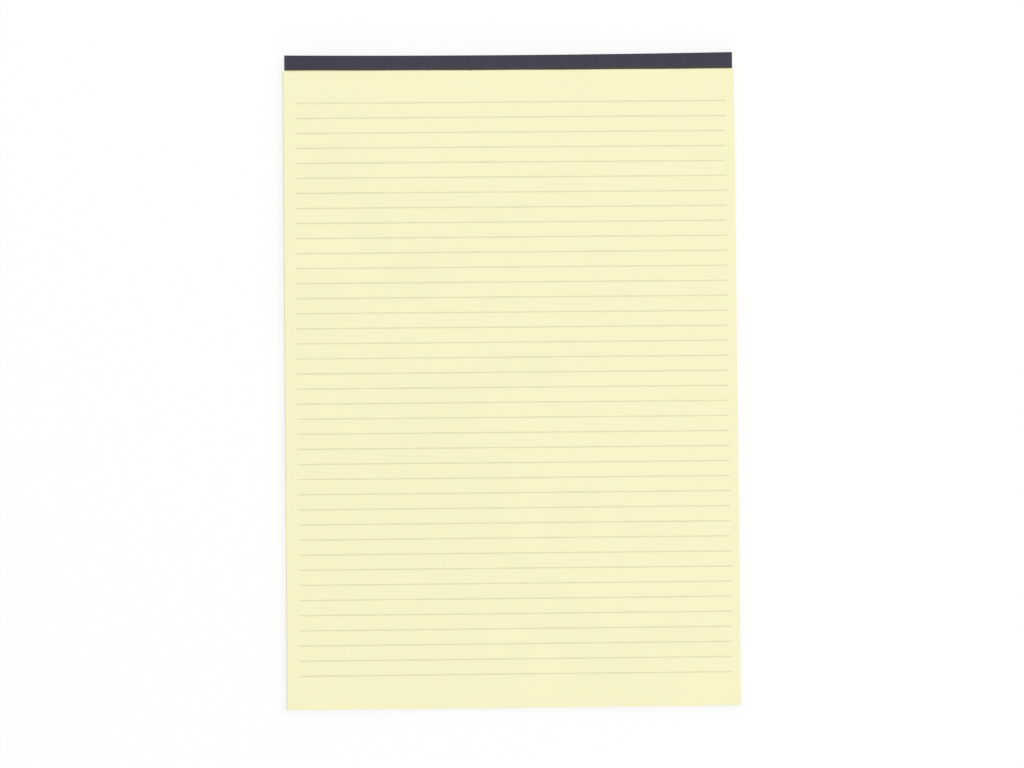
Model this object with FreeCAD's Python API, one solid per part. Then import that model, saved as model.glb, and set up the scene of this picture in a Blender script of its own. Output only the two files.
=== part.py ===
"""A4 ruled writing pad: a block of tear-off sheets on a backing board, wire-stitched along
the head and finished with a strip of binding tape folded over the head edge.

Millimetres.  +X runs across the pad, +Y toward the bound head, +Z up from the back of the
board.  The origin is under the middle of the whole pad, at the level it rests on.
"""
import FreeCAD, Part
import math
import os

# ---- driving dimensions ---------------------------------------------------------------
# tear-off sheets
SHEET_WIDTH = 210.0
SHEET_LENGTH = 297.0            # foot to perforation
SHEET_COUNT = 50
SHEET_PITCH_LOOSE = 0.084       # one sheet and the air over it, where the sheets lie free
SHEET_PITCH_BOUND = 0.076       # one sheet where the binding squeezes the block

# bound stub above the perforation
SHOULDER = 0.35                 # trimmed off the stub at each side
NIP_RUN = 4.0                   # length over which the sheets dip into the binding

# perforation
PERFORATION_SETBACK = 0.4       # from the tape's edge to the middle of the slits
SLIT_LENGTH = 1.7
SLIT_WIDTH = 0.2
SLIT_PITCH = 2.5
SLIT_END_MARGIN = 0.8           # uncut paper kept at each end of the row

# backing board
BOARD_THICKNESS = 0.9

# binding tape
STRIP_HEIGHT = 7.0              # front flap, seen from above
BACK_FLAP = 13.0
TAPE_THICKNESS = 0.15
FOLD_RADIUS = 0.45              # outside of the two folds along the head

# wire stitches
STITCH_SPACING = 81.0           # between the middles of the two stitches
STITCH_FROM_HEAD = 3.5
CROWN_LENGTH = 13.0             # between the two legs
CLINCH_LENGTH = 4.5             # each leg's turned-in end
WIRE_DIAMETER = 0.5
WIRE_BEND = 0.6                 # bend radius of the wire's centre line
WIRE_CLEARANCE = 0.03           # around the wire, in the paper and the board
WIRE_SINK = 0.02                # wire below the face that the tape lies on
CLINCH_END_ROOM = 0.3           # groove beyond the cut end of the wire

# ---- derived places -------------------------------------------------------------------
TOTAL_LENGTH = SHEET_LENGTH + PERFORATION_SETBACK + STRIP_HEIGHT
Y_FOOT = -TOTAL_LENGTH / 2
Y_HEAD = TOTAL_LENGTH / 2                       # outside of the tape
Y_PAPER_HEAD = Y_HEAD - TAPE_THICKNESS          # head edge of sheets and board
Y_PERFORATION = Y_FOOT + SHEET_LENGTH
Y_TAPE_FRONT = Y_HEAD - STRIP_HEIGHT
Y_TAPE_BACK = Y_HEAD - BACK_FLAP
Y_NIP_START = Y_TAPE_FRONT - NIP_RUN
Y_STITCH = Y_HEAD - STITCH_FROM_HEAD

X_LEFT = -SHEET_WIDTH / 2
X_RIGHT = SHEET_WIDTH / 2
X_STUB_LEFT = X_LEFT + SHOULDER
X_STUB_RIGHT = X_RIGHT - SHOULDER
STUB_WIDTH = X_STUB_RIGHT - X_STUB_LEFT

Z_BOARD_TOP = BOARD_THICKNESS
Z_SHEETS_TOP = Z_BOARD_TOP + SHEET_COUNT * SHEET_PITCH_LOOSE
Z_STUB_TOP = Z_BOARD_TOP + SHEET_COUNT * SHEET_PITCH_BOUND
Z_TAPE_TOP = Z_STUB_TOP + TAPE_THICKNESS
Z_REBATE = TAPE_THICKNESS                       # board face that the back flap lies on

EDGE_RADIUS = FOLD_RADIUS - TAPE_THICKNESS      # head edges inside the tape
WIRE_RADIUS = WIRE_DIAMETER / 2
BORE_RADIUS = WIRE_RADIUS + WIRE_CLEARANCE
Z_CROWN = Z_STUB_TOP - WIRE_SINK - WIRE_RADIUS
Z_CLINCH = Z_REBATE + WIRE_SINK + WIRE_RADIUS
BEYOND = 2.0                                    # how far cutting tools pass the faces

STITCHES = {
    "left_stitch": -STITCH_SPACING / 2,
    "right_stitch": STITCH_SPACING / 2,
}


# ---- profiles in the YZ plane -----------------------------------------------------------
def yz(y, z, x=0.0):
    """A point on the side profile."""
    return FreeCAD.Vector(x, y, z)


def line(a, b):
    return Part.makeLine(a, b)


def arc_about(centre, radius, start_deg, end_deg, x=0.0):
    """Arc in a YZ plane, angles from +Y toward +Z, as start, middle and end points."""
    points = []
    for degrees in (start_deg, (start_deg + end_deg) / 2, end_deg):
        turn = math.radians(degrees)
        points.append(yz(centre[0] + radius * math.cos(turn), centre[1] + radius * math.sin(turn), x))
    return Part.Arc(*points).toShape()


def extrude_profile(edges, width):
    """Closed YZ profile made solid along +X."""
    face = Part.Face(Part.Wire(edges))
    return face.extrude(FreeCAD.Vector(width, 0, 0))


def block(x0, x1, y0, y1, z0, z1):
    return Part.makeBox(x1 - x0, y1 - y0, z1 - z0, FreeCAD.Vector(x0, y0, z0))


def dip_arcs(x):
    """Two equal arcs, tangent to the flat at both ends, from the stub down the nip's run.

    For a run R and a drop d, each arc covers half of both and has radius (R^2 + d^2) / 4d.
    """
    drop = Z_SHEETS_TOP - Z_STUB_TOP
    radius = (NIP_RUN ** 2 + drop ** 2) / (4 * drop)
    half_turn = math.degrees(math.asin(NIP_RUN / 2 / radius))
    lower = arc_about((Y_TAPE_FRONT, Z_STUB_TOP + radius), radius, 270, 270 - half_turn, x)
    upper = arc_about((Y_NIP_START, Z_SHEETS_TOP - radius), radius, 90 - half_turn, 90, x)
    return lower, upper


# ---- wire stitches ----------------------------------------------------------------------
def xz_corner(x_corner, z_corner, toward_x, toward_z):
    """Rounded corner of the stitch's centre line, from its upright side to its level side."""
    start = FreeCAD.Vector(x_corner, Y_STITCH, z_corner + toward_z * WIRE_BEND)
    end = FreeCAD.Vector(x_corner + toward_x * WIRE_BEND, Y_STITCH, z_corner)
    slack = WIRE_BEND * (1 - math.sqrt(0.5))
    middle = FreeCAD.Vector(x_corner + toward_x * slack, Y_STITCH, z_corner + toward_z * slack)
    return start, middle, end


def stitch_path(x_middle, end_extra=0.0):
    """Centre line of a stitch: clinched end, leg, crown, leg, clinched end."""
    x_a = x_middle - CROWN_LENGTH / 2
    x_b = x_middle + CROWN_LENGTH / 2
    low_a = xz_corner(x_a, Z_CLINCH, 1, 1)
    high_a = xz_corner(x_a, Z_CROWN, 1, -1)
    high_b = xz_corner(x_b, Z_CROWN, -1, -1)
    low_b = xz_corner(x_b, Z_CLINCH, -1, 1)
    end_a = FreeCAD.Vector(x_a + CLINCH_LENGTH + end_extra, Y_STITCH, Z_CLINCH)
    end_b = FreeCAD.Vector(x_b - CLINCH_LENGTH - end_extra, Y_STITCH, Z_CLINCH)
    return Part.Wire([
        line(end_a, low_a[2]),
        Part.Arc(low_a[2], low_a[1], low_a[0]).toShape(),
        line(low_a[0], high_a[0]),
        Part.Arc(high_a[0], high_a[1], high_a[2]).toShape(),
        line(high_a[2], high_b[2]),
        Part.Arc(high_b[2], high_b[1], high_b[0]).toShape(),
        line(high_b[0], low_b[0]),
        Part.Arc(low_b[0], low_b[1], low_b[2]).toShape(),
        line(low_b[2], end_b),
    ])


def round_bar(path, radius):
    """A circle carried along a path."""
    start = path.OrderedVertexes[0].Point
    heading = path.OrderedEdges[0].tangentAt(path.OrderedEdges[0].FirstParameter)
    circle = Part.Wire(Part.makeCircle(radius, start, heading))
    return path.makePipeShell([circle], True, False)


def make_stitch(x_middle):
    return round_bar(stitch_path(x_middle), WIRE_RADIUS)


def open_groove(x0, x1, z_wire, z_out):
    """Channel with round ends that opens a wire's groove to the face it lies under."""
    low, high = sorted((z_wire, z_out))
    channel = block(x0, x1, Y_STITCH - BORE_RADIUS, Y_STITCH + BORE_RADIUS, low, high)
    for x_end in (x0, x1):
        post = Part.makeCylinder(BORE_RADIUS, high - low, FreeCAD.Vector(x_end, Y_STITCH, low))
        channel = channel.fuse(post)
    return channel.removeSplitter()


def stitch_room(x_middle):
    """Cutting tools for one stitch: its bore, the crown's groove and the clinches' groove."""
    x_a = x_middle - CROWN_LENGTH / 2
    x_b = x_middle + CROWN_LENGTH / 2
    reach = CLINCH_LENGTH + CLINCH_END_ROOM
    tools = [round_bar(stitch_path(x_middle, CLINCH_END_ROOM), BORE_RADIUS)]
    tools.append(open_groove(x_a, x_b, Z_CROWN, Z_STUB_TOP + BEYOND))
    tools.append(open_groove(x_a, x_a + reach - BORE_RADIUS, Z_CLINCH, -BEYOND))
    tools.append(open_groove(x_b - reach + BORE_RADIUS, x_b, Z_CLINCH, -BEYOND))
    return tools


def cut_stitch_rooms(body):
    for x_middle in STITCHES.values():
        for tool in stitch_room(x_middle):
            body = body.cut(tool)
    return body


# ---- sheets and board -------------------------------------------------------------------
def trim_shoulders(body):
    """Narrow the bound stub at both sides, from the perforation to the head."""
    z0, z1 = -BEYOND, Z_SHEETS_TOP + BEYOND
    left = block(X_LEFT - BEYOND, X_STUB_LEFT, Y_PERFORATION, Y_HEAD + BEYOND, z0, z1)
    right = block(X_STUB_RIGHT, X_RIGHT + BEYOND, Y_PERFORATION, Y_HEAD + BEYOND, z0, z1)
    return body.cut(left).cut(right)


def slit_centres():
    """Middles of the perforation's slits, as many as the stub's width holds."""
    room = STUB_WIDTH - 2 * SLIT_END_MARGIN - SLIT_LENGTH
    count = int(room // SLIT_PITCH) + 1
    first = -(count - 1) * SLIT_PITCH / 2
    return [first + i * SLIT_PITCH for i in range(count)]


def perforation():
    slits = []
    for x in slit_centres():
        slits.append(block(
            x - SLIT_LENGTH / 2, x + SLIT_LENGTH / 2,
            Y_PERFORATION - SLIT_WIDTH / 2, Y_PERFORATION + SLIT_WIDTH / 2,
            Z_BOARD_TOP - BEYOND, Z_SHEETS_TOP + BEYOND,
        ))
    return Part.makeCompound(slits)


def make_page_block():
    """All the sheets as one solid: flat writing face, dip into the binding, bound stub."""
    lower, upper = dip_arcs(X_LEFT)
    head_round = arc_about(
        (Y_PAPER_HEAD - EDGE_RADIUS, Z_STUB_TOP - EDGE_RADIUS), EDGE_RADIUS, 0, 90, X_LEFT)
    foot_low = yz(Y_FOOT, Z_BOARD_TOP, X_LEFT)
    foot_high = yz(Y_FOOT, Z_SHEETS_TOP, X_LEFT)
    head_low = yz(Y_PAPER_HEAD, Z_BOARD_TOP, X_LEFT)
    edges = [
        line(foot_low, head_low),
        line(head_low, yz(Y_PAPER_HEAD, Z_STUB_TOP - EDGE_RADIUS, X_LEFT)),
        head_round,
        line(yz(Y_PAPER_HEAD - EDGE_RADIUS, Z_STUB_TOP, X_LEFT), yz(Y_TAPE_FRONT, Z_STUB_TOP, X_LEFT)),
        lower,
        upper,
        line(yz(Y_NIP_START, Z_SHEETS_TOP, X_LEFT), foot_high),
        line(foot_high, foot_low),
    ]
    sheets = extrude_profile(edges, SHEET_WIDTH)
    sheets = trim_shoulders(sheets)
    sheets = cut_stitch_rooms(sheets)
    return sheets.cut(perforation())


def make_backing_board():
    """Greyboard with a rebate pressed in its back, so that the tape lies level with it."""
    head_round = arc_about(
        (Y_PAPER_HEAD - EDGE_RADIUS, Z_REBATE + EDGE_RADIUS), EDGE_RADIUS, 270, 360, X_LEFT)
    foot_low = yz(Y_FOOT, 0, X_LEFT)
    foot_high = yz(Y_FOOT, Z_BOARD_TOP, X_LEFT)
    head_high = yz(Y_PAPER_HEAD, Z_BOARD_TOP, X_LEFT)
    edges = [
        line(foot_low, yz(Y_TAPE_BACK, 0, X_LEFT)),
        line(yz(Y_TAPE_BACK, 0, X_LEFT), yz(Y_TAPE_BACK, Z_REBATE, X_LEFT)),
        line(yz(Y_TAPE_BACK, Z_REBATE, X_LEFT), yz(Y_PAPER_HEAD - EDGE_RADIUS, Z_REBATE, X_LEFT)),
        head_round,
        line(yz(Y_PAPER_HEAD, Z_REBATE + EDGE_RADIUS, X_LEFT), head_high),
        line(head_high, foot_high),
        line(foot_high, foot_low),
    ]
    board = extrude_profile(edges, SHEET_WIDTH)
    board = trim_shoulders(board)
    return cut_stitch_rooms(board)


# ---- binding tape -----------------------------------------------------------------------
def make_binding_tape():
    """One strip of tape folded over the head: front flap, head, back flap."""
    x = X_STUB_LEFT
    z_low_centre = FOLD_RADIUS
    z_high_centre = Z_TAPE_TOP - FOLD_RADIUS
    y_centre = Y_HEAD - FOLD_RADIUS
    edges = [
        line(yz(Y_TAPE_BACK, 0, x), yz(y_centre, 0, x)),
        arc_about((y_centre, z_low_centre), FOLD_RADIUS, 270, 360, x),
        line(yz(Y_HEAD, z_low_centre, x), yz(Y_HEAD, z_high_centre, x)),
        arc_about((y_centre, z_high_centre), FOLD_RADIUS, 0, 90, x),
        line(yz(y_centre, Z_TAPE_TOP, x), yz(Y_TAPE_FRONT, Z_TAPE_TOP, x)),
        line(yz(Y_TAPE_FRONT, Z_TAPE_TOP, x), yz(Y_TAPE_FRONT, Z_STUB_TOP, x)),
        line(yz(Y_TAPE_FRONT, Z_STUB_TOP, x), yz(y_centre, Z_STUB_TOP, x)),
        arc_about((y_centre, z_high_centre), EDGE_RADIUS, 90, 0, x),
        line(yz(Y_PAPER_HEAD, z_high_centre, x), yz(Y_PAPER_HEAD, z_low_centre, x)),
        arc_about((y_centre, z_low_centre), EDGE_RADIUS, 360, 270, x),
        line(yz(y_centre, Z_REBATE, x), yz(Y_TAPE_BACK, Z_REBATE, x)),
        line(yz(Y_TAPE_BACK, Z_REBATE, x), yz(Y_TAPE_BACK, 0, x)),
    ]
    return extrude_profile(edges, STUB_WIDTH)


# ---- export -----------------------------------------------------------------------------
def single_solid(shape, name):
    """The one solid that a node must hold."""
    solids = shape.Solids
    if len(solids) != 1 or not solids[0].isValid():
        raise ValueError(name + " isn't one valid solid")
    return solids[0]


def main():
    os.makedirs("parts", exist_ok=True)
    nodes = {
        "page_block": make_page_block(),
        "backing_board": make_backing_board(),
        "binding_tape": make_binding_tape(),
    }
    for name, x_middle in STITCHES.items():
        nodes[name] = make_stitch(x_middle)
    for name, shape in nodes.items():
        single_solid(shape, name).exportStep("parts/" + name + ".step")


main()
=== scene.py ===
"""Looks of an A4 ruled writing pad: fifty yellow tear-off sheets on a greyboard back, bound
along the head under a narrow strip of dark tape.

The pad lies on its back.  +X runs across it, +Y up the page toward the bound head, +Z up.
Shapes are worked out in millimetres and turned into metres when a piece is made.
"""
import math

import bpy
import numpy as np
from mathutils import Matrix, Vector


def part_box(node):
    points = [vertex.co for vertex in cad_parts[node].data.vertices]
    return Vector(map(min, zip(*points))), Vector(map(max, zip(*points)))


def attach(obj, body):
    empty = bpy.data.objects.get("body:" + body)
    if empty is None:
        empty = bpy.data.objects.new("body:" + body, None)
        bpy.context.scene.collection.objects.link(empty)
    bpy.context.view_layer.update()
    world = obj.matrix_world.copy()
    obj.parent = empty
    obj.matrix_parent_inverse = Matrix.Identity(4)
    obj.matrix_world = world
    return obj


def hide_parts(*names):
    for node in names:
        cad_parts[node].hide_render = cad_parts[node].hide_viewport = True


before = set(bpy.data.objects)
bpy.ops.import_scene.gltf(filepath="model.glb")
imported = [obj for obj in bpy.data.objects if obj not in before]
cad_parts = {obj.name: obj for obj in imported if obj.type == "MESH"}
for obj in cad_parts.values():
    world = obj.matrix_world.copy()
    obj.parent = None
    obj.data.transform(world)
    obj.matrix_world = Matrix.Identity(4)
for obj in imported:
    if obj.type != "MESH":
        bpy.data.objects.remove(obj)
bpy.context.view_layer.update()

MM = 0.001                      # one millimetre in metres
TURN = 2 * math.pi


def box_of(node):
    """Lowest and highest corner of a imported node, in millimetres."""
    low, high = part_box(node)
    return np.array(low) / MM, np.array(high) / MM


PAGES_LOW, PAGES_HIGH = box_of("page_block")
TAPE_LOW, TAPE_HIGH = box_of("binding_tape")
STITCHES = ("left_stitch", "right_stitch")

# ---- sizes that the boxes don't give, as in the part ---------------------------------------
SHEETS = 50
SHEET_LENGTH = 297.0            # foot to perforation
NIP_DROP = 0.4                  # bound stub below the loose sheets
NIP_RUN = 4.0
STRIP_HEIGHT = 7.0              # front flap of the tape
TAPE_THICKNESS = 0.15
FOLD_RADIUS = 0.45
SLIT_LENGTH = 1.7
SLIT_PITCH = 2.5
SLIT_END_MARGIN = 0.8
CROWN_LENGTH = 13.0
STITCH_FROM_HEAD = 3.5

# ---- places --------------------------------------------------------------------------------
HALF_WIDTH = PAGES_HIGH[0]
Y_FOOT = PAGES_LOW[1]
Y_PAPER_HEAD = PAGES_HIGH[1]
Y_HEAD = TAPE_HIGH[1]
Y_PERFORATION = Y_FOOT + SHEET_LENGTH
Y_TAPE_FRONT = Y_HEAD - STRIP_HEIGHT
Y_TAPE_BACK = TAPE_LOW[1]
Y_NIP_START = Y_TAPE_FRONT - NIP_RUN
Y_STITCH = Y_HEAD - STITCH_FROM_HEAD
X_STUB_LEFT, X_STUB_RIGHT = TAPE_LOW[0], TAPE_HIGH[0]
Z_BOARD_TOP = box_of("backing_board")[1][2]
Z_SHEETS_TOP = PAGES_HIGH[2]
Z_TAPE_TOP = TAPE_HIGH[2]
EDGE_RADIUS = FOLD_RADIUS - TAPE_THICKNESS
STITCH_MIDDLES = [sum(box_of(stitch))[0] / 2 for stitch in STITCHES]

# ---- how this pad differs from a perfect one -----------------------------------------------
AIR = 0.006                     # kept between pieces that lie on each other
GROOVE = 0.012                  # depth of the groove between two sheets at the trimmed edge
LEAN_LEFT = 0.74                # how far the lowest sheet stands out past a perfect pad's edge
LEAN_RIGHT = 0.82
LEAN_FOOT = 0.38
FAN = 0.42                      # under 1, most of the lean is among the upper sheets
SLIT_WIDTH = 0.14
SLIT_DEPTH = 0.25
SLIT_WALL = 0.02                # run of a slit's sloping wall
SHOULDER_PAST = 0.1             # the sheets step in to the stub this far past the perforation
SHOULDER_STEP = 0.03            # run of that step
SHOULDER_ROUND = 0.5            # worn corner where the sheets step in
HEAD_LOW_AT = -12.0             # the head is cut a little hollow, lowest here
HEAD_SHIFT = -0.33
HEAD_RISE = 0.57
FRONT_LOW_AT = 30.0             # so is the tape's front edge
FRONT_SHIFT = -0.3
FRONT_RISE = 0.18
HOLLOW_REACH = 100.0            # both rises are those this far from the lowest place
NICK_AT = -27.4                 # nick in the left edge of the block
NICK_DEPTH = 0.35
STITCH_BULGE = 0.07             # tape raised over the stitches' crowns
TICK_AT = -18.0                 # snag in the tape's front edge
TICK_DEPTH = 0.25

# ---- ruling --------------------------------------------------------------------------------
LINES = 39
LINE_PITCH = 7.01               # 7 as ordered, and the paper has grown a little since
FIRST_LINE = 15.45              # below the tape's edge
LINE_LEFT = -99.63
LINE_RIGHT = 101.33
LINE_SKEW = 0.34                # the last line stands this far to the right of the first
LINE_WIDTH = 0.6
INK_ABOVE = 0.03                # ink's face over the paper, and its foot as far under it


# ---- numbers -------------------------------------------------------------------------------
def smooth(start, end, value):
    """0 before start, 1 past end, and 3t^2 - 2t^3 between.  The end may lie below the start."""
    t = np.clip((value - start) / (end - start), 0, 1)
    return t * t * (3 - 2 * t)


def bell(distance, width):
    """exp(-(d / w)^2)."""
    return np.exp(-(distance / width) ** 2)


def head_hollow(x):
    """How far the trimmed head stands past its straight line: a parabola across the pad."""
    return HEAD_SHIFT + HEAD_RISE * ((x - HEAD_LOW_AT) / HOLLOW_REACH) ** 2


def front_hollow(x):
    """The same for the tape's front edge."""
    return FRONT_SHIFT + FRONT_RISE * ((x - FRONT_LOW_AT) / HOLLOW_REACH) ** 2


def wander(seed, step, pull=0.9):
    """One number a sheet: a random walk whose last value is pulled back toward 0 at each step."""
    rng = np.random.default_rng(seed)
    value, walk = 0.0, []
    for push in rng.normal(0, step, SHEETS):
        value = value * pull + push
        walk.append(value)
    return np.array(walk)


def points_at(x, y, z):
    """Three coordinates, each a number or a grid, stacked into one grid of points."""
    return np.stack(np.broadcast_arrays(x, y, z), -1)


# ---- sewing patches into closed meshes -----------------------------------------------------
BAKE_MAP = "OFBake"             # the map that a piece's colours are baked through
SHEET_MAP = "sheet_run"         # metres round the block, and sheets up from the lowest
TAPE_MAP = "tape_run"           # metres across the pad, and along the strip from its back end
SEAM = 0.001                    # step of the grid on which points are told apart
SEAM_SHIFT = 0.137              # shift of that grid, in steps, so that no round size is halfway
CRISP_FOLD = math.radians(30)   # a fold sharper than this isn't shaded as a curve


class Skin:
    """Patches of points, sewn where they meet into one closed mesh, with the maps they carry."""

    def __init__(self, *maps):
        self.points, self.faces, self.soft = [], [], []
        self.maps = {name: [] for name in maps}
        self.count = 0

    def patch(self, grid, *places, soft=True, flip=False):
        """A grid of points, rows by columns.  Its front has the columns' way crossed with the rows'.

        Places are those of the points on each of the skin's maps, or None where nothing reads them.
        """
        rows, cols = grid.shape[:2]
        ids = np.arange(rows * cols).reshape(rows, cols)
        corners = np.stack([ids[:-1, :-1], ids[:-1, 1:], ids[1:, 1:], ids[1:, :-1]], -1).reshape(-1, 4)
        if flip:
            corners = corners[:, ::-1]
        self.polygons(grid.reshape(-1, 3), corners.tolist(), *places, soft=soft)

    def polygons(self, points, faces, *places, soft=True):
        """Faces on loose points."""
        self.points.append(points)
        for kept, place in zip(self.maps.values(), places, strict=True):
            kept.append(np.zeros((len(points), 2)) if place is None else place.reshape(-1, 2))
        self.faces += [[i + self.count for i in face] for face in faces]
        self.soft += [soft] * len(faces)
        self.count += len(points)

    def sewn(self):
        """Makes one of the points on the same step of the seam grid, and drops faces left thin.

        Returns the points, the faces, the loose point at each corner of a face, and which faces
        are soft.
        """
        points = np.concatenate(self.points)
        steps = np.round(points / SEAM + SEAM_SHIFT).astype(np.int64)
        _, first, number = np.unique(steps, axis=0, return_index=True, return_inverse=True)
        number = number.ravel()
        faces, corners, soft = [], [], []
        for face, is_soft in zip(self.faces, self.soft):
            joined = number[face]
            keep = joined != np.roll(joined, 1)
            if keep.sum() < 3:
                continue
            faces.append(joined[keep].tolist())
            corners += [c for c, k in zip(face, keep) if k]
            soft.append(is_soft)
        return points[first], faces, corners, soft

    def make(self, name, node, finish):
        """The sewn mesh as a piece with its maps, its finish and its slot, in place of a node."""
        points, faces, corners, soft = self.sewn()
        mesh = bpy.data.meshes.new(name)
        mesh.from_pydata((points * MM).tolist(), [], faces)
        mesh.polygons.foreach_set("use_smooth", soft)
        mesh.set_sharp_from_angle(angle=CRISP_FOLD)
        for map_name, places in self.maps.items():
            layer = mesh.uv_layers.new(name=map_name)
            layer.data.foreach_set("uv", np.concatenate(places)[corners].ravel())
        mesh.materials.append(finish)
        piece = bpy.data.objects.new(name, mesh)
        bpy.context.scene.collection.objects.link(piece)
        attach(piece, "root")
        if node:
            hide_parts(node)
        return piece


class Plot:
    """A rectangle of the bake map, from its low corner to its high one."""

    def __init__(self, left, low, right, high):
        self.corner = np.array([left, low])
        self.size = np.array([right - left, high - low])

    def places(self, across, up):
        """Places in the plot of shares across and up it, 0 to 1."""
        return self.corner + self.size * np.stack(np.broadcast_arrays(across, up), -1)

    def page(self, u, v):
        """The plot filled with a whole page."""
        return self.places((u + HALF_WIDTH) / (2 * HALF_WIDTH), (v - Y_FOOT) / (Y_PAPER_HEAD - Y_FOOT))

    def edge(self, way, height):
        """The plot filled with the edge all round a page: the height across it, the way round up it."""
        return self.places(height, way / way[-1])


# plots of the sheets and of the board
SEEN_PAGE = Plot(0.0, 0.06, 0.84, 1.0)
HIDDEN_PAGE = Plot(0.0, 0.0, 0.84, 0.05)
PAGE_EDGE = Plot(0.85, 0.0, 1.0, 1.0)


# ---- outline that the sheets and the board share -------------------------------------------
Y_SHOULDER = Y_PERFORATION + SHOULDER_PAST
Y_STEP_MIDDLE = Y_SHOULDER + SHOULDER_STEP / 2
X_INNER = 102.4                 # up to here lines across keep their place
Y_INNER_FOOT = Y_FOOT + 6.0     # and between these two, lines up keep theirs
Y_INNER_HEAD = Y_TAPE_FRONT + 0.5
SHOULDER_LINES = Y_SHOULDER - SHOULDER_ROUND * np.array([1, 0.7, 0.4, 0.15, 0])
HEAD_LINES = Y_PAPER_HEAD - EDGE_RADIUS * (1 - np.sin(np.linspace(0, math.pi / 2, 6)))


def side_line(y, stub):
    """Distance of the trimmed side from the middle: sheet, worn corner, step in to the stub."""
    into = np.clip(y - (Y_SHOULDER - SHOULDER_ROUND), 0, SHOULDER_ROUND)
    worn = HALF_WIDTH - SHOULDER_ROUND + np.sqrt(SHOULDER_ROUND ** 2 - into ** 2)
    return np.where(y > Y_STEP_MIDDLE, stub, worn)


def stretch(value, inner, outer, edge):
    """Moves what lies past inner, so that what was at outer comes to edge."""
    return np.where(value > inner, inner + (value - inner) * (edge - inner) / (outer - inner), value)


def outlined(u, v, left_out, right_out, foot_out):
    """Turns a line across and a line up the pad into a place, given how far its edges stand out."""
    loose = v < Y_STEP_MIDDLE
    left = side_line(v, -X_STUB_LEFT) + left_out * loose
    right = side_line(v, X_STUB_RIGHT) + right_out * loose
    x = np.where(u < 0, -stretch(-u, X_INNER, HALF_WIDTH, left), stretch(u, X_INNER, HALF_WIDTH, right))
    y = -stretch(-v, -Y_INNER_FOOT, -Y_FOOT, -(Y_FOOT - foot_out))
    return x, stretch(y, Y_INNER_HEAD, Y_PAPER_HEAD, Y_PAPER_HEAD + head_hollow(x))


def around(across, up):
    """The four edges of a grid of lines, counter-clockwise from the foot's left end and closed.

    Returns the lines across and up of each point, and its way from the start.
    """
    u = np.concatenate([across, np.full(len(up) - 1, across[-1]), across[-2::-1],
                        np.full(len(up) - 1, across[0])])
    v = np.concatenate([np.full(len(across), up[0]), up[1:], np.full(len(across) - 1, up[-1]),
                        up[-2::-1]])
    way = np.append(0, np.cumsum(np.hypot(np.diff(u), np.diff(v))))
    return u, v, way


def head_round(v):
    """How far a face falls away at the head, along a quarter circle inside the tape's fold."""
    into = np.clip(v - (Y_PAPER_HEAD - EDGE_RADIUS), 0, EDGE_RADIUS)
    return EDGE_RADIUS - np.sqrt(EDGE_RADIUS ** 2 - into ** 2)


# ---- top of the sheets ---------------------------------------------------------------------
WAVES = (                       # half height, length across, length up, start in radians
    (0.05, 190, 260, 0.7),
    (0.035, -310, 120, 2.1),
)
LIFTED_CORNERS = (              # side, height and reach of a curled foot corner
    (-1, 0.3, 24.0),
    (1, 0.5, 32.0),
)
LIFT_FADE = 45.0                # the lift dies out over this run before the binding
STUB_SINKS = (-1.0, -0.3)       # the face sinks by the air under the tape between these, from its edge


def sheets_dip(v):
    """Drop of the top sheet into the binding: two equal arcs tangent to the flat at both ends."""
    radius = (NIP_RUN ** 2 + NIP_DROP ** 2) / (4 * NIP_DROP)
    run = np.clip(v - Y_NIP_START, 0, NIP_RUN)
    near = np.minimum(run, NIP_RUN / 2)
    far = np.minimum(NIP_RUN - run, NIP_RUN / 2)
    first = radius - np.sqrt(radius ** 2 - near ** 2)
    second = NIP_DROP - (radius - np.sqrt(radius ** 2 - far ** 2))
    return np.where(run < NIP_RUN / 2, first, second)


def sheets_lift(u, v):
    """Height over the flat: slanting sine waves and bells at the foot corners, none at the binding."""
    height = 0
    for half, across, up, start in WAVES:
        height = height + half * (1 + np.sin(TURN * (u / across + v / up) + start))
    for side, tall, reach in LIFTED_CORNERS:
        height = height + tall * bell(np.hypot(u - side * HALF_WIDTH, v - Y_FOOT), reach)
    return height * (1 - smooth(Y_NIP_START - LIFT_FADE, Y_NIP_START, v))


def sheets_top(u, v):
    """Height of the writing face before the slits are cut: the flat, less its dip and its falls."""
    sunk = AIR * smooth(Y_TAPE_FRONT + STUB_SINKS[0], Y_TAPE_FRONT + STUB_SINKS[1], v)
    return Z_SHEETS_TOP - sheets_dip(v) - head_round(v) - sunk


# ---- trimmed edges of the sheets -----------------------------------------------------------
SHEET_ROWS = np.array([0, 0.25, 0.75])      # in a sheet's thickness: its groove, and its flat cut
ROW_HEIGHTS = np.append((np.arange(SHEETS)[:, None] + SHEET_ROWS).ravel(), SHEETS) / SHEETS
TOP_ROW = len(ROW_HEIGHTS) - 1
DRIFT_STEP = 0.012
STRAY_SHARE = 0.1               # of the sheets that are a touch out of line
STRAY_OUT = (-0.03, 0.05)
JITTER = 0.006
EVEN_FROM = 0.9                 # from this share of the height the sheets lie even
SIDE_WAVE = (0.05, 140, 4)      # height, length and twist
SIDE_RIPPLE = (0.012, 23, 9)
FOOT_WAVE = (0.06, 170, 3, 1)   # the same and its start
NICK_REACH = 0.8
NICK_BOTTOM = (0.25, 0.4)       # shares of the block's height over which the nick comes in
NICK_TOP = (0.95, 0.8)
LIFT_FROM = 0.8                 # only the sheets above this share of the height take part in the lift


def edge_rows(sheet_offsets):
    """Offsets of the rows round the block: three a sheet, the lowest of them in the groove under it."""
    under = np.append(sheet_offsets[:1], sheet_offsets[:-1])
    groove = np.minimum(sheet_offsets, under) - GROOVE
    rows = np.stack([groove, sheet_offsets, sheet_offsets], 1).ravel()
    return np.append(rows, sheet_offsets[-1])


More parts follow.
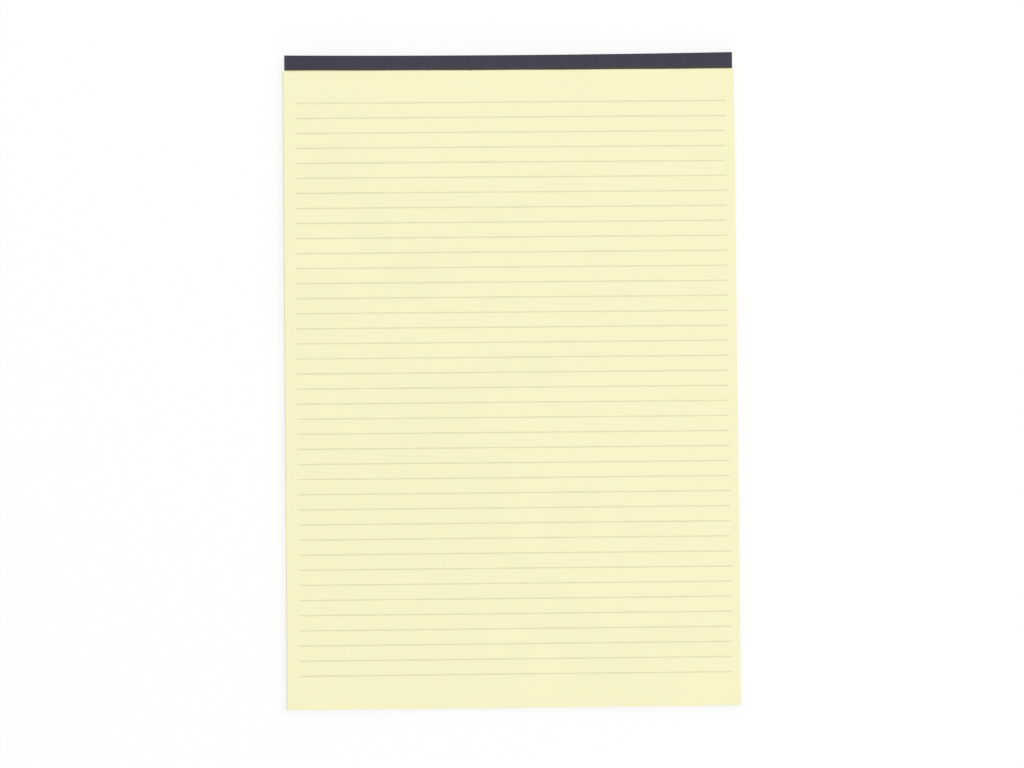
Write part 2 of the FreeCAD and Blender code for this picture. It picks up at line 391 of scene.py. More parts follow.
def side_rows(lean, seed):
    """Offsets of one side: the lean, an easy drift, and a few sheets a touch out of line."""
    level = (np.arange(SHEETS) + 0.5) / SHEETS
    rng = np.random.default_rng(seed + 100)
    stray = np.where(rng.random(SHEETS) < STRAY_SHARE, rng.uniform(*STRAY_OUT, SHEETS), 0)
    loose = wander(seed, DRIFT_STEP) + stray + rng.normal(0, JITTER, SHEETS)
    return edge_rows(lean * (1 - level) ** FAN + loose * smooth(1.0, EVEN_FROM, level))


LEFT_ROWS = side_rows(LEAN_LEFT, 3)
RIGHT_ROWS = side_rows(LEAN_RIGHT, 5)
FOOT_ROWS = side_rows(LEAN_FOOT, 8)


def edge_wave(way, height, tall, length, twist, start=0):
    """A sine along an edge, flat at the top sheet, that moves on by its twist from bottom to top."""
    return tall * (1 - height) * np.sin(TURN * way / length + twist * height + start)


def sheet_place(u, v, row):
    """Place in plan of a line across and a line up the pad, at a row of the block's edge."""
    height = ROW_HEIGHTS[row]
    wave = edge_wave(v, height, *SIDE_WAVE)
    ripple = edge_wave(v, height, *SIDE_RIPPLE)
    nick = NICK_DEPTH * bell(v - NICK_AT, NICK_REACH)
    nick = nick * smooth(*NICK_BOTTOM, height) * smooth(*NICK_TOP, height)
    left = LEFT_ROWS[row] + wave + ripple - nick
    right = RIGHT_ROWS[row] - wave + ripple
    foot = FOOT_ROWS[row] + edge_wave(u, height, *FOOT_WAVE)
    return outlined(u, v, left, right, foot)


# ---- lines of the sheets' grids, and the slits between them --------------------------------
SIDE_LINES = np.array([0, 0.1, 0.4, 1.0])           # in from a side
FOOT_LINES = np.array([0, 0.3, 1.0, 2.5])           # up from the foot
NICK_LINES = np.array([-1.6, -0.9, -0.45, 0, 0.45, 0.9, 1.6])
PAGE_STEP = 5.0
PAGE_END = 2.0                                      # the even lines stop this far before the nip
NIP_LINES = 8
NIP_END = 0.6                                       # the nip's lines stop this far before the slits
PAST_SLITS = 0.1                                    # from half a pitch past the first and last slit
BAND_END = 0.12                                     # fine lines stop this far before the tape's edge
STUB_LINES = np.append(Y_TAPE_FRONT + np.array([0, 0.7, 2, 4]), Y_PAPER_HEAD - 1)


def slit_middles():
    """Middles of the slits, as in the part."""
    room = X_STUB_RIGHT - X_STUB_LEFT - 2 * SLIT_END_MARGIN - SLIT_LENGTH
    count = int(room // SLIT_PITCH) + 1
    return (np.arange(count) - (count - 1) / 2) * SLIT_PITCH


def slit_lines(size):
    """Both rims and both feet of a slit's walls, from the slit's middle."""
    half = size / 2
    return np.array([-half, -half + SLIT_WALL, half - SLIT_WALL, half])


def lines_across():
    """Coarse lines stand between slits, every second one; fine ones add the slits' ends."""
    middles = slit_middles()
    inner = middles[:-1:2] + SLIT_PITCH / 2
    past = SLIT_PITCH / 2 + PAST_SLITS
    coarse = np.concatenate([-HALF_WIDTH + SIDE_LINES, [middles[0] - past], inner,
                             [middles[-1] + past], (HALF_WIDTH - SIDE_LINES)[::-1]])
    ends = (middles[:, None] + slit_lines(SLIT_LENGTH)).ravel()
    return coarse, np.unique(np.concatenate([coarse, ends]))


def lines_up():
    """Lines from the foot to the perforation, across the perforation, and on to the head."""
    page = np.arange(Y_FOOT + PAGE_STEP, Y_NIP_START - PAGE_END, PAGE_STEP)
    nip = np.linspace(Y_NIP_START, Y_PERFORATION - NIP_END, NIP_LINES)
    low = np.unique(np.concatenate([Y_FOOT + FOOT_LINES, page, NICK_AT + NICK_LINES, nip]))
    slit = Y_PERFORATION + slit_lines(SLIT_WIDTH)
    step = [Y_SHOULDER + SHOULDER_STEP, Y_TAPE_FRONT - BAND_END]
    band = np.unique(np.concatenate([slit, SHOULDER_LINES, step]))
    return low, band, np.append(STUB_LINES, HEAD_LINES)


def slits_cut(u, v):
    """1 inside a slit and 0 on the paper between slits."""
    middles = slit_middles()
    nearest = middles[np.abs(u[..., None] - middles).argmin(-1)]
    along = np.abs(u - nearest) < SLIT_LENGTH / 2 - SLIT_WALL / 2
    return along & (np.abs(v - Y_PERFORATION) < SLIT_WIDTH / 2 - SLIT_WALL / 2)


# ---- block of sheets -----------------------------------------------------------------------
def sheet_points(u, v, row, cut=False):
    """Points of the block at a row of its edge; the top row carries the lift and the slits."""
    u, v, row = np.broadcast_arrays(u, v, row)
    x, y = sheet_place(u, v, row)
    height = ROW_HEIGHTS[row]
    low = Z_BOARD_TOP + AIR
    z = low + height * (sheets_top(u, v) - low) + sheets_lift(u, v) * smooth(LIFT_FROM, 1.0, height)
    if cut:
        z = z - SLIT_DEPTH * slits_cut(u, v)
    return points_at(x, y, z)


def bridge(skin, coarse, fine, v_coarse, v_fine, upward):
    """Many-sided faces from a row of coarse lines to a row of fine ones."""
    points = np.concatenate([sheet_points(coarse, v_coarse, TOP_ROW), sheet_points(fine, v_fine, TOP_ROW)])
    places = np.concatenate([SEEN_PAGE.page(coarse, v_coarse), SEEN_PAGE.page(fine, v_fine)])
    at = np.searchsorted(fine, coarse) + len(coarse)
    faces = []
    for i in range(len(coarse) - 1):
        run = list(range(at[i], at[i + 1] + 1))
        faces.append([i, i + 1] + run[::-1] if upward else [i + 1, i] + run)
    skin.polygons(points, faces, places, None)


def make_sheets(finish):
    """Writing face in three bands, the ridged edge all round, and the flat underside."""
    coarse, fine = lines_across()
    low, band, high = lines_up()
    skin = Skin(BAKE_MAP, SHEET_MAP)
    skin.patch(sheet_points(coarse, low[:, None], TOP_ROW), SEEN_PAGE.page(coarse, low[:, None]), None)
    bridge(skin, coarse, fine, low[-1], band[0], True)
    holed = sheet_points(fine, band[:, None], TOP_ROW, cut=True)
    skin.patch(holed, SEEN_PAGE.page(fine, band[:, None]), None, soft=False)
    bridge(skin, coarse, fine, high[0], band[-1], False)
    skin.patch(sheet_points(coarse, high[:, None], TOP_ROW), SEEN_PAGE.page(coarse, high[:, None]), None)
    up = np.concatenate([low, band, high])
    u, v, way = around(coarse, up)
    rows = np.arange(len(ROW_HEIGHTS))[:, None]
    height = ROW_HEIGHTS[rows]
    run = np.stack(np.broadcast_arrays(way * MM, height * SHEETS), -1)
    skin.patch(sheet_points(u, v, rows), PAGE_EDGE.edge(way, height), run, soft=False)
    under = sheet_points(coarse, up[:, None], 0)
    skin.patch(under, HIDDEN_PAGE.page(coarse, up[:, None]), None, soft=False, flip=True)
    return skin.make("sheets", "page_block", finish)


# ---- ruled lines ---------------------------------------------------------------------------
LINE_STATIONS = 61
INK_SECTION = np.array([[-0.5, -1], [0.5, -1], [0.5, 1], [-0.5, 1], [-0.5, -1]])
INK_UNROLLED = np.array([0, 0.1, 0.2, 0.9, 1])      # the top has most of the line's plot
END_SCATTER = 0.12
WAVER = 0.02                    # a line's sine over this length, moving on over so many lines
WAVER_LENGTH = 210
WAVER_LINES = 9
SWELL = 0.06                    # share by which a line's width swells and shrinks
SWELL_LENGTHS = (30, 60)
LINE_MARGIN = 0.05              # shares of a line's plot that are left free along it and at its ends
END_MARGIN = 0.01
CAP_SIZE = 0.005                # of the plots of a line's two ends


def make_ruling(finish):
    """Each line is a low bar of ink: a four-sided section carried along a slow sine."""
    skin = Skin(BAKE_MAP)
    rng = np.random.default_rng(21)
    stations = np.linspace(0, 1, LINE_STATIONS)
    for k in range(LINES):
        skew = LINE_SKEW * (k / (LINES - 1) - 0.5)
        start = LINE_LEFT + skew + rng.uniform(-END_SCATTER, END_SCATTER)
        end = LINE_RIGHT + skew + rng.uniform(-END_SCATTER, END_SCATTER)
        x = start + (end - start) * stations
        waver = WAVER * np.sin(TURN * (x / WAVER_LENGTH + k / WAVER_LINES))
        y = Y_TAPE_FRONT - FIRST_LINE - LINE_PITCH * k + waver
        swell = np.sin(TURN * x / rng.uniform(*SWELL_LENGTHS) + rng.uniform(0, 6))
        width = LINE_WIDTH * (1 + SWELL * swell)
        paper = sheets_top(x, y) + sheets_lift(x, y)
        across = y[:, None] + width[:, None] * INK_SECTION[:, 0]
        tall = paper[:, None] + INK_ABOVE * INK_SECTION[:, 1]
        bar = points_at(x[:, None], across, tall)
        plot = Plot(END_MARGIN, (k + LINE_MARGIN) / LINES, 1 - END_MARGIN, (k + 1 - LINE_MARGIN) / LINES)
        skin.patch(bar, plot.places(stations[:, None], INK_UNROLLED), soft=False)
        for at, face, left in ((0, [3, 2, 1, 0], 0.0), (-1, [0, 1, 2, 3], 1 - CAP_SIZE)):
            cap = Plot(left, k / LINES, left + CAP_SIZE, (k + 1) / LINES)
            places = cap.places(INK_SECTION[:4, 0] + 0.5, INK_SECTION[:4, 1] / 2 + 0.5)
            skin.polygons(bar[at, :4], [face], places, soft=False)
    return skin.make("ruling", None, finish)


# ---- backing board -------------------------------------------------------------------------
BOARD_ROWS = np.array([0, 0.05, 0.16, 0.5, 0.84, 0.95, 1])              # shares of its thickness
BOARD_PUSH = np.array([-0.09, -0.03, 0, 0.015, 0, -0.03, -0.09])        # rounded by the knife
BOARD_TOP = len(BOARD_ROWS) - 1
BOARD_PAST = 0.03               # the board stands this far past the lowest sheet
BOARD_ROUGH = (                 # height, length, way it slants and start of the cut's roughness
    (0.012, 3.1, 1, 0),
    (0.01, 1.7, -1, 1),
)
BOARD_RIM = 0.15                # width of the outermost faces
BOARD_COLUMNS = 138
BOARD_STEP = 1.5
REBATE_WALL = Y_TAPE_BACK + np.array([-0.1, -0.05])
REBATE_LINES = np.linspace(Y_TAPE_BACK + 1, Y_TAPE_FRONT - 1.2, 4)
BOARD_STUB_LINES = [Y_SHOULDER + SHOULDER_STEP, Y_TAPE_FRONT + 2, Y_PAPER_HEAD - 1.5]


def board_points(u, v, row):
    """Edge pushed in where the knife rounds it and roughened by two sines between, rebate in the
    back under the tape's flap."""
    u, v, row = np.broadcast_arrays(u, v, row)
    rough = sum(tall * np.sin(TURN * (u + way * v) / length + start)
                for tall, length, way, start in BOARD_ROUGH)
    out = BOARD_PAST + BOARD_PUSH[row] + rough * ((row > 0) & (row < BOARD_TOP))
    x, y = outlined(u, v, LEFT_ROWS[0] + out, RIGHT_ROWS[0] + out, FOOT_ROWS[0] + out)
    rebate = TAPE_THICKNESS + AIR
    low = (rebate + head_round(v)) * (v > REBATE_WALL.mean())
    return points_at(x, y, low + BOARD_ROWS[row] * (Z_BOARD_TOP - low))


def board_lines():
    """Lines across and up the board: a narrow rim, even steps, and those of its rebate and head."""
    across = np.concatenate([[-HALF_WIDTH, -HALF_WIDTH + BOARD_RIM],
                             np.linspace(-X_INNER, X_INNER, BOARD_COLUMNS),
                             [HALF_WIDTH - BOARD_RIM, HALF_WIDTH]])
    page = np.arange(Y_FOOT + BOARD_STEP, Y_TAPE_BACK - 1, BOARD_STEP)
    up = np.unique(np.concatenate([[Y_FOOT, Y_FOOT + BOARD_RIM], page, REBATE_WALL, REBATE_LINES,
                                   SHOULDER_LINES, BOARD_STUB_LINES, HEAD_LINES]))
    return across, up


def make_board(finish):
    """Top, back and the edge all round."""
    across, up = board_lines()
    skin = Skin(BAKE_MAP)
    skin.patch(board_points(across, up[:, None], BOARD_TOP), HIDDEN_PAGE.page(across, up[:, None]))
    skin.patch(board_points(across, up[:, None], 0), SEEN_PAGE.page(across, up[:, None]), flip=True)
    u, v, way = around(across, up)
    rows = np.arange(len(BOARD_ROWS))[:, None]
    skin.patch(board_points(u, v, rows), PAGE_EDGE.edge(way, BOARD_ROWS[rows]), soft=False)
    return skin.make("board", "backing_board", finish)


# ---- binding tape --------------------------------------------------------------------------
FOLD_STEPS = 8
BACK_POINTS = 14
HEAD_POINTS = 7
FRONT_POINTS = 22
TAPE_COLUMNS = 240
TICK_LINES = np.array([-0.6, -0.3, 0, 0.3, 0.6])
TICK_REACH = 0.35
KNIFE = (                       # height, length and start of the front edge's wander
    (0.03, 47, 1),
    (0.012, 5.3, 0),
)
COCKLES = (                     # height, length, sway, length of the sway, turn along the strip
    (0.012, 7.3, 1.3, 31, 0),
    (0.008, 2.9, 2, 19, 1),
)
CALM_FRONT = 1.2                # the cockles come in over this from the front edge
CALM_HEAD = (0.5, 1.5)          # and between these from the head
BULGE_ACROSS = 0.9              # reach of the bulge past a crown's end
BULGE_UP = 0.8
FRONT_BLEND = 0.3               # the front flap's own shape dies out over this round the fold
EDGE_BLEND = 1.0                # the front edge's wander dies out over this
HOLLOW_FROM_HEAD = 1.2          # the head's hollow is whole from this far before the head
OUTSIDE_PLOTS = 3               # lengths of the outside on the bake map
OUTSIDE_TOP = 0.9               # share of the map's height that they take
OUTSIDE_FILL = 0.97             # share of its place that each fills
INSIDE_PLOT = Plot(0, 0.91, 1, 0.94)
LONG_EDGE_PLOTS = (Plot(0, 0.95, 1, 0.96), Plot(0, 0.97, 1, 0.98))
CUT_END_PLOTS = (Plot(0, 0.985, 0.5, 0.995), Plot(0.5, 0.985, 1, 0.995))


def tape_section():
    """Outside of the folded strip: back flap, fold, head, fold, front flap.

    Returns each point's place, the way its surface faces, and its distance along the strip.
    """
    quarter = np.linspace(0, math.pi / 2, FOLD_STEPS + 1)[1:-1]
    sine, cosine = np.sin(quarter), np.cos(quarter)
    y_turn = Y_HEAD - FOLD_RADIUS
    stretches = (
        (np.linspace(Y_TAPE_BACK, y_turn, BACK_POINTS), 0, 0, -1),
        (y_turn + FOLD_RADIUS * sine, FOLD_RADIUS * (1 - cosine), sine, -cosine),
        (Y_HEAD, np.linspace(FOLD_RADIUS, Z_TAPE_TOP - FOLD_RADIUS, HEAD_POINTS), 1, 0),
        (y_turn + FOLD_RADIUS * cosine, Z_TAPE_TOP - FOLD_RADIUS * (1 - sine), cosine, sine),
        (np.linspace(y_turn, Y_TAPE_FRONT, FRONT_POINTS), Z_TAPE_TOP, 0, 1),
    )
    joined = np.concatenate([np.stack(np.broadcast_arrays(*one)) for one in stretches], 1)
    y, z, facing_y, facing_z = joined
    along = np.append(0, np.cumsum(np.hypot(np.diff(y), np.diff(z))))
    return y, z, facing_y, facing_z, along


def tape_rise(x, y):
    """Height of the front flap over its flat: bells over the stitches' crowns, and cockles, which
    are sines that sway, calm near both edges."""
    bulge = 0
    for middle in STITCH_MIDDLES:
        past_end = np.clip(np.abs(x - middle) - CROWN_LENGTH / 2, 0, None)
        bulge = bulge + STITCH_BULGE * bell(past_end, BULGE_ACROSS) * bell(y - Y_STITCH, BULGE_UP)
    cockle = sum(tall * np.sin(TURN * x / length + sway * np.sin(TURN * x / sway_length) + turn * y)
                 for tall, length, sway, sway_length, turn in COCKLES)
    from_front = smooth(Y_TAPE_FRONT, Y_TAPE_FRONT + CALM_FRONT, y)
    from_head = smooth(Y_HEAD - CALM_HEAD[0], Y_HEAD - CALM_HEAD[1], y)
    return bulge + cockle * (from_front * from_head)


def tape_points(x, depth, section):
    """Points of the strip at a depth under its outside, moved along the surface's way of facing.

    The front edge wanders as a parabola, two sines and a bell; the head has its own parabola.
    """
    y, z, facing_y, facing_z, _ = section
    x = x[:, None]
    front = smooth(Z_TAPE_TOP - FRONT_BLEND, Z_TAPE_TOP, z)
    knife = sum(tall * np.sin(TURN * x / length + start) for tall, length, start in KNIFE)
    tick = TICK_DEPTH * bell(x - TICK_AT, TICK_REACH)
    edge = (front_hollow(x) + knife - tick) * smooth(Y_TAPE_FRONT + EDGE_BLEND, Y_TAPE_FRONT, y) * front
    hollow = head_hollow(x) * smooth(Y_INNER_HEAD, Y_HEAD - HOLLOW_FROM_HEAD, y)
    rise = tape_rise(x, y) * front
    return points_at(x, y + edge + hollow - depth * facing_y, z + rise - depth * facing_z)


def make_tape(section, finish):
    """Outside and inside of the strip, its two long edges and its two cut ends.

    The outside is laid on the bake map as lengths one above the other, so that its threads show.
    """
    x = np.unique(np.append(np.linspace(X_STUB_LEFT, X_STUB_RIGHT, TAPE_COLUMNS), TICK_AT + TICK_LINES))
    outside = tape_points(x, 0, section)
    inside = tape_points(x, TAPE_THICKNESS - AIR / 2, section)
    run = np.stack(np.broadcast_arrays(x[:, None], section[-1]), -1) * MM
    across = ((x - x[0]) / (x[-1] - x[0]))[:, None]
    up = section[-1] / section[-1][-1]
    skin = Skin(TAPE_MAP, BAKE_MAP)
    cuts = np.linspace(0, len(x) - 1, OUTSIDE_PLOTS + 1).astype(int)
    for k, (start, end) in enumerate(zip(cuts[:-1], cuts[1:])):
        part = slice(start, end + 1)
        low, high = np.array([k, k + OUTSIDE_FILL]) * OUTSIDE_TOP / OUTSIDE_PLOTS
        share = (across[part] - across[start]) / (across[end] - across[start])
        skin.patch(outside[part], run[part], Plot(0, low, 1, high).places(share, up))
    skin.patch(inside, run, INSIDE_PLOT.places(across, up), flip=True)
    for at, turned, edge_plot, end_plot in zip((0, -1), (True, False), LONG_EDGE_PLOTS, CUT_END_PLOTS):
        long_edge = np.stack([outside[:, at], inside[:, at]], 1)
        places = edge_plot.places(across, np.array([0, 1]))
        skin.patch(long_edge, np.stack([run[:, at]] * 2, 1), places, soft=False, flip=turned)
        cut_end = np.stack([outside[at], inside[at]], 0)
        places = end_plot.places(up, np.array([[0], [1]]))
        skin.patch(cut_end, np.stack([run[at]] * 2, 0), places, soft=False, flip=turned)
    return skin.make("head_tape", "binding_tape", finish)


# ---- shader nodes --------------------------------------------------------------------------
class Signal:
    """A value on its way through a node tree.  Arithmetic on it adds Math nodes."""

    def __init__(self, nodes, socket):
        self.nodes, self.socket = nodes, socket

    def maths(self, operation, *values):
        """A Math node's result."""
        return self.nodes.node("Math", {"operation": operation}, dict(enumerate(values)))

    def __add__(self, other):
        return self.maths("ADD", self, other)

    def __radd__(self, other):
        return self.maths("ADD", other, self)

    def __sub__(self, other):
        return self.maths("SUBTRACT", self, other)

    def __rsub__(self, other):
        return self.maths("SUBTRACT", other, self)

    def __mul__(self, other):
        return self.maths("MULTIPLY", self, other)

    def __rmul__(self, other):
        return self.maths("MULTIPLY", other, self)

    def __lt__(self, other):
        return self.maths("LESS_THAN", self, other)

    def __gt__(self, other):
        return self.maths("GREATER_THAN", self, other)

    def __abs__(self):
        return self.maths("ABSOLUTE", self)

    def sine(self):
        return self.maths("SINE", self)

    def fraction(self):
        return self.maths("FRACT", self)

    def or_larger(self, other):
        return self.maths("MAXIMUM", self, other)


class Nodes:
    """The node tree of a material or a world."""

    def __init__(self, owner):
        owner.use_nodes = True
        self.tree = owner.node_tree

    def node(self, kind, settings, sockets, out=0):
        """Adds a shader node: its settings first, then its sockets' values or links."""
        made = self.tree.nodes.new("ShaderNode" + kind)
        for key, value in settings.items():
            setattr(made, key, value)
        for key, value in sockets.items():
            if isinstance(value, Signal):
                self.tree.links.new(value.socket, made.inputs[key])
            else:
                made.inputs[key].default_value = value
        return Signal(self, made.outputs[out]) if made.outputs else None


class Finish(Nodes):
    """A material, its Principled shader and the nodes that feed it."""

    def __init__(self, name, **plain):
        self.material = bpy.data.materials.new(name)
        super().__init__(self.material)
        self.shader = self.tree.nodes["Principled BSDF"]
        for socket, value in plain.items():
            self.shader.inputs[socket.replace("_", " ")].default_value = value

    def feed(self, **links):
        """Links signals to the shader's sockets of those names."""
        for socket, signal in links.items():
            self.tree.links.new(signal.socket, self.shader.inputs[socket.replace("_", " ")])

    def place(self):
        """The place on the piece, in metres."""
        return self.node("TexCoord", {}, {}, "Object")

    def map_place(self, name):
        """The place on one of the piece's own maps."""
        return self.node("UVMap", {"uv_map": name}, {})

    def axis(self, vector, letter):
        """One number of a vector, X, Y or Z."""
        return self.node("SeparateXYZ", {}, {"Vector": vector}, letter)

    def scaled(self, vector, *scale):
        """A vector scaled along its three axes; a pattern on it is stretched where it is under 1."""
        return self.node("Mapping", {}, {"Vector": vector, "Scale": scale})

    def noise(self, vector, scale, detail=2.0, roughness=0.5):
        """Clouds about 0.5, as many a metre as the scale says."""
        sockets = {"Vector": vector, "Scale": scale, "Detail": detail, "Roughness": roughness}
        return self.node("TexNoise", {}, sockets, "Fac")

    def blend(self, factor, first, second, kind="MIX"):
        """Two colours mixed by a factor."""
        settings = {"data_type": "RGBA", "blend_type": kind, "clamp_factor": True}
        sockets = {0: factor, 6: first, 7: second}
        return self.node("Mix", settings, sockets, 2)

    def ramp(self, value, low, high):
        """0 below low, 1 above high, eased between."""
        sockets = {"Value": value, "From Min": low, "From Max": high}
        return self.node("MapRange", {"interpolation_type": "SMOOTHSTEP"}, sockets)

    def uprightness(self):
        """1 where the surface faces up or down, 0 where it stands."""
        return abs(self.axis(self.node("NewGeometry", {}, {}, "Normal"), "Z"))

    def bump(self, height, strength, distance):
        """A normal tilted as if the height, 0 to 1, were this distance in metres."""
        sockets = {"Strength": strength, "Distance": distance, "Height": height}
        return self.node("Bump", {}, sockets)


# ---- finishes ------------------------------------------------------------------------------
# tones as screen values, 0 to 255
PAPER = (246, 242, 198)
CUT_PAPER_DARK = (231, 225, 184)
CUT_PAPER_PALE = (252, 248, 212)
# painted shade for the grooves between sheets
GROOVE_PAINTED_SHADE = (198, 189, 142)
INK = (228, 224, 182)
TAPE = (56, 57, 71)
TAPE_LIP = (65, 59, 54)         # browner, slightly darker band along the front edge
BOARD = (158, 149, 134)
DARK_FIBRE = (92, 83, 76)
PALE_FIBRE = (204, 198, 186)
BROWN_HAIR = (120, 96, 74)
WIRE_DARK = (176, 178, 180)
WIRE_PALE = (214, 215, 216)

PAPER_CUT = 0.93                # a cut edge where the uprightness is less
BOARD_CUT = 0.7
LIP_STARTS = 0.0014             # metres before the front flap's end
LIP_FULL = 0.0005
WEFT_PITCH = 0.00042            # metres
WARP_PITCH = 0.00036


def tone(red, green, blue, times=1.0):
    """A colour given as screen values, turned into light by the sRGB curve and scaled."""
    screen = np.array([red, green, blue]) / 255
    light = np.where(screen <= 0.04045, screen / 12.92, ((screen + 0.055) / 1.055) ** 2.4)
    return tuple(np.clip(light * times, 0, 1)) + (1.0,)


def paper_finish():
    """Uncoated tinted paper: cloudy formation, short fibres, sheet edges that vary in tone, and painted
    shade in the grooves between sheets.
    """
    paper = Finish("sheet_paper", Specular_IOR_Level=0.25)
    at = paper.place()
    cloud = paper.noise(at, scale=28.0, detail=4.0, roughness=0.6)
    fibre = paper.noise(paper.scaled(at, 1.0, 0.5, 1.0), scale=2600.0, detail=3.0, roughness=0.7)
    body = paper.blend(cloud, tone(*PAPER, 0.98), tone(*PAPER, 1.02))
    face = paper.blend(1.0, body, 0.95 + 0.1 * fibre, "MULTIPLY")
    run = paper.map_place(SHEET_MAP)
    layers = paper.noise(paper.scaled(run, 9.0, 0.93, 1.0), scale=1.0, detail=1.0)
    lengths = paper.noise(paper.scaled(run, 60.0, 0.37, 1.0), scale=1.0)
    share = (layers * 0.6 + lengths * 0.4 - 0.3) * 2.2
    cut = paper.blend(share, tone(*CUT_PAPER_DARK), tone(*CUT_PAPER_PALE))
    # painted shade: the cut edge is darkened toward the groove tone where two sheets meet
    groove = paper.ramp(abs(paper.axis(run, "Y").fraction() - 0.5), 0.34, 0.5)
    cut = paper.blend(groove * 0.45, cut, tone(*GROOVE_PAINTED_SHADE))
    paper.feed(Base_Color=paper.blend(paper.uprightness() < PAPER_CUT, face, cut))
    paper.feed(Roughness=0.84 + 0.1 * fibre)
    tooth = fibre * 0.6 + paper.noise(at, scale=900.0) * 0.4
    paper.feed(Normal=paper.bump(tooth, strength=0.6, distance=0.00004))
    return paper.material


def ink_finish():
    """Thin grey ink that takes unevenly on the paper's fibres."""
    ink = Finish("ruling_ink", Roughness=0.85, Specular_IOR_Level=0.25)
    at = ink.place()
    take = ink.noise(ink.scaled(at, 1.0, 0.6, 1.0), scale=2600.0, detail=3.0, roughness=0.7)
    run = ink.noise(ink.scaled(at, 1.0, 6.0, 1.0), scale=60.0)
    ink.feed(Base_Color=ink.blend(take * 0.6 + run * 0.4, tone(*INK, 0.85), tone(*INK, 1.15)))
    return ink.material


def tape_finish(flap_end):
    """Crinkled book tape: fine threads both ways, streaks across it, a browner band along its front lip.
    """
    tape = Finish("book_tape", Specular_IOR_Level=0.25)
    run = tape.map_place(TAPE_MAP)
    x = tape.axis(run, "X")
    y = tape.axis(run, "Y")
    cloud = tape.noise(run, scale=70.0, detail=3.0)
    streak = tape.noise(tape.scaled(run, 1.0, 0.07, 1.0), scale=900.0, roughness=0.6)
    broad = tape.noise(tape.scaled(run, 1.0, 0.15, 1.0), scale=120.0)
    weft = (x * (TURN / WEFT_PITCH) + tape.noise(run, scale=300.0) * 2.0).sine() * 0.5 + 0.5
    warp = (y * (TURN / WARP_PITCH) + tape.noise(run, scale=500.0) * 2.0).sine() * 0.5 + 0.5
    threads = weft * warp
    mix = streak * 0.35 + broad * 0.25 + cloud * 0.2 + threads * 0.2
    body = tape.blend(mix, tone(*TAPE, 0.55), tone(*TAPE, 1.5))
    lip = tape.ramp(y, flap_end - LIP_STARTS, flap_end - LIP_FULL)
    tape.feed(Base_Color=tape.blend(lip * 0.9, body, tone(*TAPE_LIP)))
    tape.feed(Roughness=0.5 + 0.2 * cloud + 0.1 * threads)
    tape.feed(Normal=tape.bump(threads * 0.5 + streak * 0.5, strength=0.8, distance=0.00006))
    return tape.material


def board_finish():
    """Greyboard: pressed waste pulp with dark and pale fibres, in plies along the cut edge."""
    board = Finish("greyboard", Specular_IOR_Level=0.3)
    at = board.place()
    pulp = board.noise(at, scale=420.0, detail=5.0, roughness=0.7)
    cloud = board.noise(at, scale=24.0, detail=3.0)
    body = board.blend(pulp * 0.6 + cloud * 0.4, tone(*BOARD, 0.75), tone(*BOARD, 1.25))
    dark = board.noise(board.scaled(at, 1.0, 0.3, 1.0), scale=3100.0, roughness=0.6)
    pale = board.noise(board.scaled(at, 0.25, 1.0, 1.0), scale=2600.0, roughness=0.6)
    hair = board.noise(board.scaled(at, 1.0, 0.12, 1.0), scale=5200.0, detail=1.0)
    body = board.blend(board.ramp(dark, 0.6, 0.7) * 0.6, body, tone(*DARK_FIBRE))
    body = board.blend(board.ramp(pale, 0.62, 0.72) * 0.6, body, tone(*PALE_FIBRE))
    body = board.blend(board.ramp(hair, 0.68, 0.74) * 0.5, body, tone(*BROWN_HAIR))
    plies = board.noise(board.scaled(at, 120.0, 120.0, 5200.0), scale=1.0, detail=3.0, roughness=0.6)
    cut = board.blend(plies, tone(*BOARD, 0.55), tone(*BOARD, 1.3))
    board.feed(Base_Color=board.blend((board.uprightness() < BOARD_CUT) * 0.7, body, cut))
    board.feed(Roughness=0.82 + 0.14 * pulp)
    board.feed(Normal=board.bump(pulp * 0.5 + dark * 0.5, strength=0.6, distance=0.00006))
    return board.material


def wire_finish():
    """Bright galvanised stitching wire with drawing marks along it."""
    wire = Finish("stitching_wire", Metallic=1.0)
    drawn = wire.noise(wire.scaled(wire.place(), 1.0, 9.0, 9.0), scale=1100.0)
    wire.feed(Base_Color=wire.blend(drawn, tone(*WIRE_DARK), tone(*WIRE_PALE)))
    wire.feed(Roughness=0.26 + 0.2 * drawn)
    return wire.material


def finish_stitches(wire):
    """The stitches are shown as packed, with the wire's finish."""
    for stitch in STITCHES:
        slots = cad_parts[stitch].data.materials
        slots.clear()
        slots.append(wire)


# ---- floor, light and camera ---------------------------------------------------------------
WHITE = (1, 1, 1, 1)
FLOOR_SIZE = 12.0
FLOOR_DROP = 0.00005            # clear of the pad's back
FLOOR_MATT = (0.96, 0.965, 0.97, 1)
FLOOR_GLOW = 0.78               # share of the floor that is seen as plain white
WORLD_LEVEL = 0.785
KEY_PLACE = (2.4, 1.44, 4.16)
KEY_SIZE = 3.2
KEY_WATTS = 76.8

CAMERA_PLACE = (-0.0168, -0.02252, 1.0189)
CAMERA_TURN = (1.172, -0.951, -0.538)           # degrees from looking straight down
FIELD_OF_VIEW = 20.0                            # degrees, up and down the picture
PICTURE = (1024, 768)


def seen_directly(nodes):
    """1 for what the camera or a reflection sees, 0 for light falling on the object."""
    camera, glossy, clear = (nodes.node("LightPath", {}, {}, f"Is {kind} Ray")
                             for kind in ("Camera", "Glossy", "Transmission"))
    return camera.or_larger(glossy).or_larger(clear)


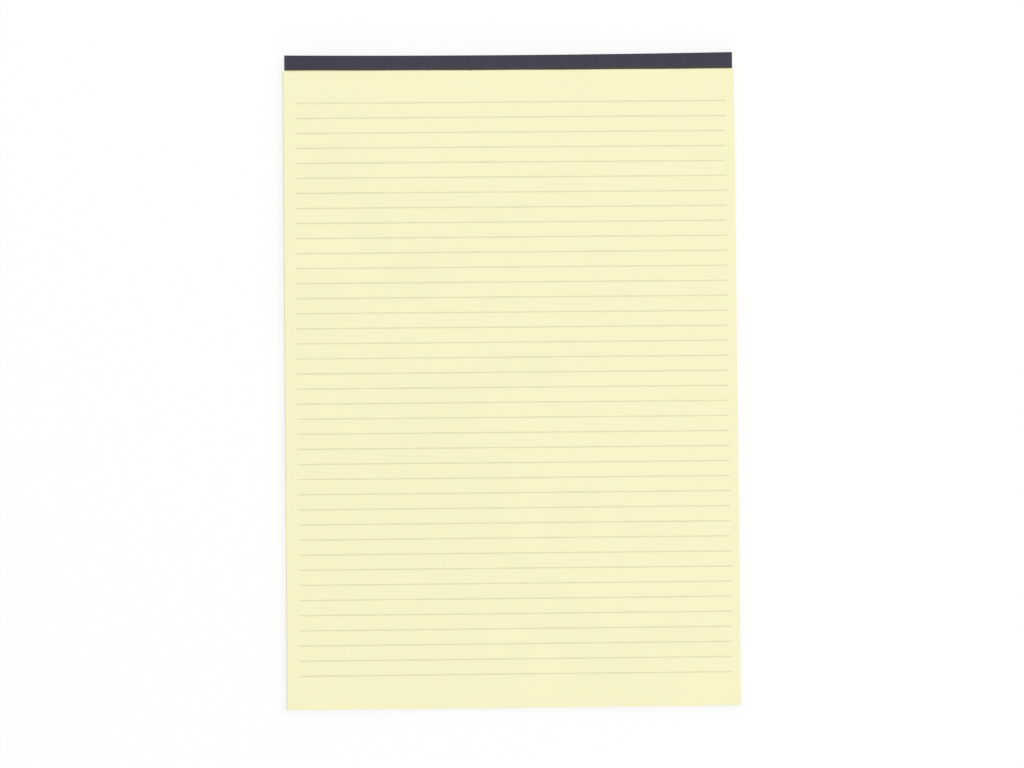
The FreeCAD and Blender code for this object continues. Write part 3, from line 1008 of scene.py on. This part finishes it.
def make_floor():
    """A square under the pad: matt to the light, and mostly plain white to the eye."""
    material = bpy.data.materials.new("floor_white")
    nodes = Nodes(material)
    nodes.tree.nodes.clear()
    matt = nodes.node("BsdfDiffuse", {}, {"Color": FLOOR_MATT})
    glow = nodes.node("Emission", {}, {"Color": WHITE})
    both = nodes.node("MixShader", {}, {0: seen_directly(nodes) * FLOOR_GLOW, 1: matt, 2: glow})
    nodes.node("OutputMaterial", {}, {"Surface": both})
    half = FLOOR_SIZE / 2
    corners = [(x * half, y * half, -FLOOR_DROP) for x, y in ((-1, -1), (1, -1), (1, 1), (-1, 1))]
    mesh = bpy.data.meshes.new("floor")
    mesh.from_pydata(corners, [], [(0, 1, 2, 3)])
    mesh.materials.append(material)
    floor = bpy.data.objects.new("floor", mesh)
    bpy.context.scene.collection.objects.link(floor)


def make_world():
    """Even light from all round, seen as plain white."""
    world = bpy.data.worlds.new("studio")
    nodes = Nodes(world)
    nodes.tree.nodes.clear()
    dome = nodes.node("Background", {}, {"Color": WHITE, "Strength": WORLD_LEVEL})
    white = nodes.node("Background", {}, {"Color": WHITE})
    both = nodes.node("MixShader", {}, {0: seen_directly(nodes), 1: dome, 2: white})
    nodes.node("OutputWorld", {}, {"Surface": both})
    bpy.context.scene.world = world


def make_key_light():
    """A wide round lamp that faces the pad."""
    lamp = bpy.data.lights.new("key", "AREA")
    lamp.shape = "DISK"
    lamp.size = KEY_SIZE
    lamp.energy = KEY_WATTS
    key = bpy.data.objects.new("key", lamp)
    key.location = KEY_PLACE
    key.rotation_euler = (-key.location).to_track_quat("-Z", "Y").to_euler()
    bpy.context.scene.collection.objects.link(key)


def make_camera():
    """Looks down on the pad, with the lens that gives the field of view."""
    lens = bpy.data.cameras.new("camera")
    lens.sensor_fit = "HORIZONTAL"
    half_height = math.tan(math.radians(FIELD_OF_VIEW / 2))
    lens.lens = lens.sensor_width / 2 / (half_height * PICTURE[0] / PICTURE[1])
    lens.clip_start = 0.01
    lens.clip_end = 50
    camera = bpy.data.objects.new("camera", lens)
    camera.location = CAMERA_PLACE
    camera.rotation_euler = [math.radians(a) for a in CAMERA_TURN]
    bpy.context.scene.collection.objects.link(camera)
    bpy.context.scene.camera = camera


# ---- the whole -----------------------------------------------------------------------------
make_sheets(paper_finish())
make_ruling(ink_finish())
make_board(board_finish())
strip = tape_section()
make_tape(strip, tape_finish(strip[-1][-1] * MM))
finish_stitches(wire_finish())
make_floor()
make_world()
make_key_light()
make_camera()
bpy.context.scene.view_settings.view_transform = "Standard"
